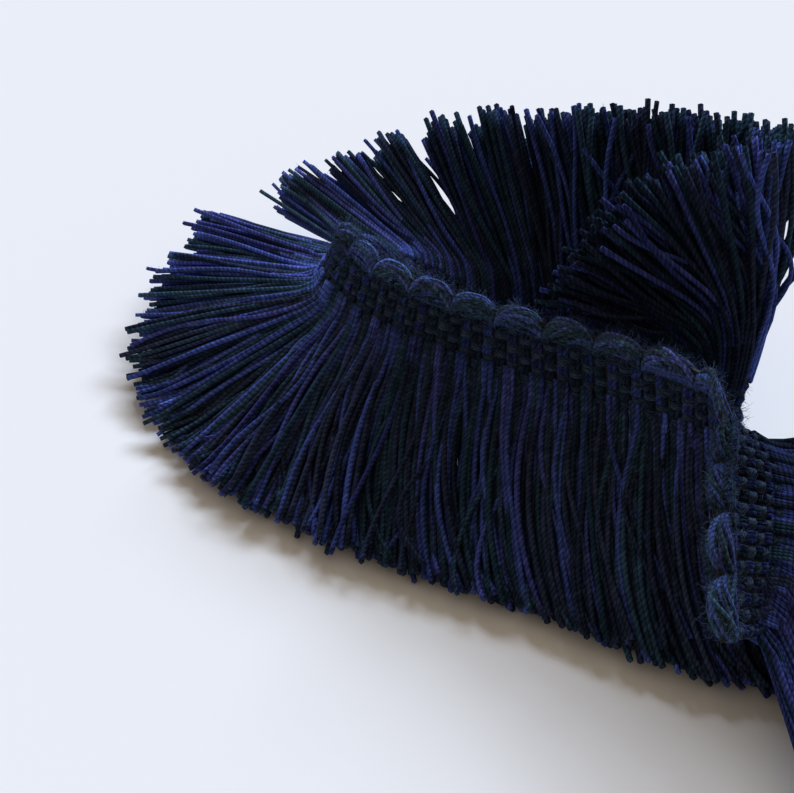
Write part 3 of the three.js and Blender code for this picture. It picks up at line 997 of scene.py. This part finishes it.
def wound_lines(yarns, plump_range):
    """Lines of yarns wound round all the bobbles, at this range of shares of their radius."""
    lines = []
    for middle in loop_middles:
        at = TrimFrame(np.clip(middle + LOOP_HALF_LENGTH * reach, 0, TRIM_LENGTH))
        for yarn in range(yarns):
            spin = 2 * math.pi * yarn / yarns + rng.normal(0, WIND_NOISE) + rng.normal(*WIND_TURN) * reach
            plump = bobble_swell(reach) * rng.uniform(*plump_range)
            height = bobble_middle(reach) + LOOP_RADIUS_UP * plump * np.sin(spin)
            lines.append(at.point(height, LOOP_RADIUS_OUT * plump * np.cos(spin)))
    lines = np.stack(lines)
    lines[..., 2] = np.maximum(lines[..., 2], LOOP_YARN_HALF)
    return lines


def loop_shades(yarns):
    """Colours of the yarns of all the bobbles, with painted light: lighter at the outer edge, darker below.
    """
    shades = LOOP_COLOURS[rng.integers(0, len(LOOP_COLOURS), (loops, yarns))]
    painted_edge_light = 1 + LOOP_PAINTED_EDGE_LIGHT * np.sin(2 * math.pi * np.arange(yarns) / yarns)
    return (shades * (loop_painted_light[:, None] * painted_edge_light)[..., None]).reshape(-1, 4)


loop_lines = wound_lines(LOOP_YARNS, LOOP_PLUMP)
loop_mesh = tube_mesh("heading_loops", loop_lines, LOOP_YARN_HALF, loop_shades(LOOP_YARNS))
bobbles = add_piece(loop_mesh, tape_yarn, "tape_yarn")
core_lines = wound_lines(CORE_YARNS, CORE_PLUMP)
core_lines[..., 2] = np.maximum(core_lines[..., 2], CORE_YARN_HALF)
core_mesh = tube_mesh(
    "loop_cores", core_lines, CORE_YARN_HALF, loop_shades(CORE_YARNS), bobble_swell(reach)
)
cores = add_piece(core_mesh, tape_yarn, "tape_yarn")
print("looped edge:", loops, "bobbles,", 2 * len(bobbles.data.polygons), "triangles")

# %% [markdown]
# ## Loose fibres
# Spun cotton is hairy: fine fibres stand off the bobbles, the weave and the strands and soften every
# outline. Blender's hair would draw them too, but it doesn't go into the exported model. So each is a thin
# tapered tube along an arc, which starts inside a yarn. A fibre is far thinner than a pixel, so these are
# drawn somewhat thicker than real ones.

# %% Fibres
FIBRE_HALF = 0.038
FIBRE_STEPS = 3
FIBRE_CORNERS = 3
FIBRE_TAPER = np.linspace(1, 0.4, FIBRE_STEPS)
FIBRE_SPREAD = 0.5  # how far a fibre's first direction strays
FIBRE_BENDS = (0.4, 2.6)  # radians from root to tip
# lighter than the yarns: painted light, for the glow of thin fibres lit from behind
FIBRE_GLOW_COLOURS = np.array([linear(c) for c in ("#46557f", "#52688a", "#4a4d78", "#3f5763")])
BARE_STEPS = 2  # the two ends of a yarn in the heading are hidden, so no fibres start there


def fibre_lines(starts, outward, lengths):
    """Arcs that leave the starts roughly along the outward directions."""
    leave = unit(outward + rng.normal(0, FIBRE_SPREAD, starts.shape))
    bow = unit(np.cross(leave, rng.normal(0, 1, starts.shape)))
    bend = rng.uniform(*FIBRE_BENDS, len(starts))
    angle = bend[:, None] * np.linspace(0, 1, FIBRE_STEPS)
    radius = (lengths / bend)[:, None]
    lines = starts[:, None] + (radius * np.sin(angle))[..., None] * leave[:, None]
    lines += (radius * (1 - np.cos(angle)))[..., None] * bow[:, None]
    lines[..., 2] = np.maximum(lines[..., 2], FIBRE_HALF)
    return lines


def fibre_piece(name, lines, material, slot):
    """Loose fibres as one piece."""
    colours = FIBRE_GLOW_COLOURS[rng.integers(0, len(FIBRE_GLOW_COLOURS), len(lines))]
    mesh = tube_mesh(name, lines, FIBRE_HALF, colours, FIBRE_TAPER, FIBRE_CORNERS)
    return add_piece(mesh, material, slot)


print("fibre:", 2 * FIBRE_HALF, "mm thick")

# %% Fibres of the heading
LOOP_FIBRES = 10000
LOOP_FIBRE_LENGTHS = (0.5, 2.8)
WEAVE_FIBRES = 6000
WEAVE_FIBRE_LENGTHS = (0.6, 1.6)

picked = rng.integers(0, len(loop_lines), LOOP_FIBRES)
step = rng.integers(BARE_STEPS, LOOP_STEPS - BARE_STEPS, LOOP_FIBRES)
starts = loop_lines[picked, step]
middles = TrimFrame(loop_middles[picked // LOOP_YARNS]).point(LOOP_MIDDLE, 0)
outward = unit(starts - middles)
lines = fibre_lines(starts, outward, rng.uniform(*LOOP_FIBRE_LENGTHS, LOOP_FIBRES))
loop_fibres = fibre_piece("loop_fibres", lines, tape_yarn, "tape_yarn")

picked = rng.integers(0, len(weft_lines), WEAVE_FIBRES)
step = rng.integers(BARE_STEPS, WEFT_STEPS - BARE_STEPS, WEAVE_FIBRES)
starts = weft_lines[picked, step]
outward = weft_faces[picked] + rng.normal(0, 1, starts.shape)
lines = fibre_lines(starts, outward, rng.uniform(*WEAVE_FIBRE_LENGTHS, WEAVE_FIBRES))
weave_fibres = fibre_piece("weave_fibres", lines, tape_yarn, "tape_yarn")
print("fibres of the heading:", LOOP_FIBRES + WEAVE_FIBRES)

# %% Fibres of the strands
STRAND_FIBRES = 3000
STRAND_FIBRE_LENGTHS = (0.5, 1.8)
STRAND_FIBRE_PLACES = (0.1, 1)  # shares of a strand's length
TIPWARD = 0.7  # less than 1 sets more of them near the tips

outer_lines = np.concatenate([lines for seen, _, lines, _ in strands if seen])
picked = rng.integers(0, len(outer_lines), STRAND_FIBRES)
step = (FACE_STEPS * rng.uniform(*STRAND_FIBRE_PLACES, STRAND_FIBRES) ** TIPWARD).astype(int)
starts = outer_lines[picked, np.minimum(step, FACE_STEPS - 1)]
outward = rng.normal(0, 1, starts.shape)
lines = fibre_lines(starts, outward, rng.uniform(*STRAND_FIBRE_LENGTHS, STRAND_FIBRES))
fibre_piece("strand_fibres", lines, fringe_yarn, "fringe_yarn")
print("fibres of the strands:", STRAND_FIBRES)
